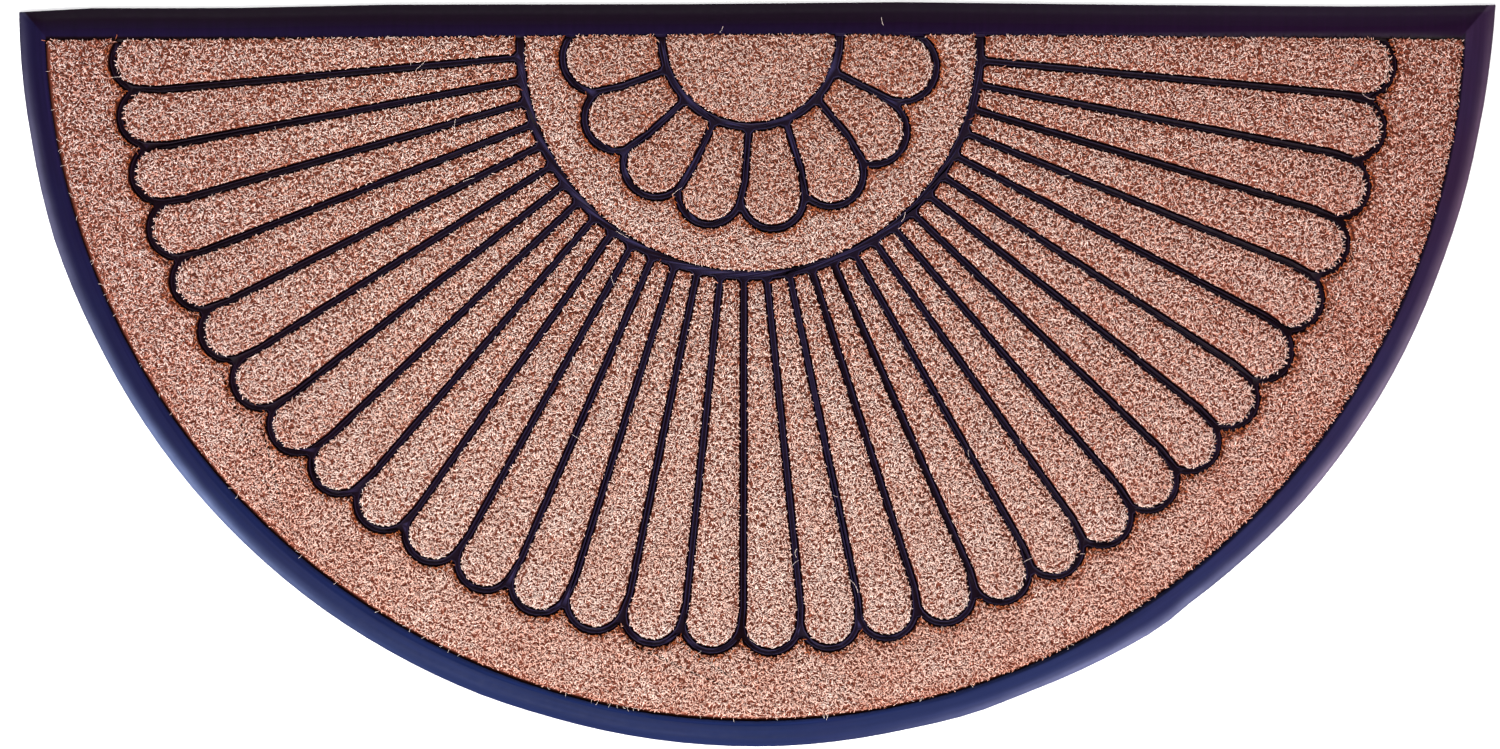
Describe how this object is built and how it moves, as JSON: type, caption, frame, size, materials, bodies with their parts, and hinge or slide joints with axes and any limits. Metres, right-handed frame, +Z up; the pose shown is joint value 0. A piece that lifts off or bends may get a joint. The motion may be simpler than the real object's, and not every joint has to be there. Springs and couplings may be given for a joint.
{
  "type": "coir doormat",
  "caption": "Half-round coir doormat: panels of brush coir in a fan pattern, set in a moulded rubber tray with a sloped border and thin raised ribs.",
  "frame": {"origin": "middle of the flat underside, at the centre of the mat's length and depth", "axes": "+X along the straight edge, +Y from the round edge towards the straight edge, +Z up out of the pile"},
  "size_m": [1.2199, 0.615, 0.014],
  "materials": {
    "rubber": "moulded natural rubber, near black with a plum to navy cast, satin",
    "coir": "short upright coir bristle, pinkish tan with cream tips and rust brown flecks, fully matte"
  },
  "bodies": {
    "root": {"rubber_tray": "rubber", "coir_outer": "coir", "coir_ray_01": "coir", "coir_ray_02": "coir", "coir_ray_03": "coir", "coir_ray_04": "coir", "coir_ray_05": "coir", "coir_ray_06": "coir", "coir_ray_07": "coir", "coir_ray_08": "coir", "coir_ray_09": "coir", "coir_ray_10": "coir", "coir_ray_11": "coir", "coir_ray_12": "coir", "coir_ray_13": "coir", "coir_ray_14": "coir", "coir_ray_15": "coir", "coir_ray_16": "coir", "coir_ray_17": "coir", "coir_ray_18": "coir", "coir_ray_19": "coir", "coir_ray_20": "coir", "coir_ray_21": "coir", "coir_ray_22": "coir", "coir_ray_23": "coir", "coir_ray_24": "coir", "coir_ray_25": "coir", "coir_ray_26": "coir", "coir_ray_27": "coir", "coir_ray_28": "coir", "coir_ray_29": "coir", "coir_ray_30": "coir", "coir_ray_31": "coir", "coir_ray_32": "coir", "coir_band": "coir", "coir_petal_1": "coir", "coir_petal_2": "coir", "coir_petal_3": "coir", "coir_petal_4": "coir", "coir_petal_5": "coir", "coir_petal_6": "coir", "coir_petal_7": "coir", "coir_petal_8": "coir", "coir_centre": "coir"}
  },
  "joints": []
}
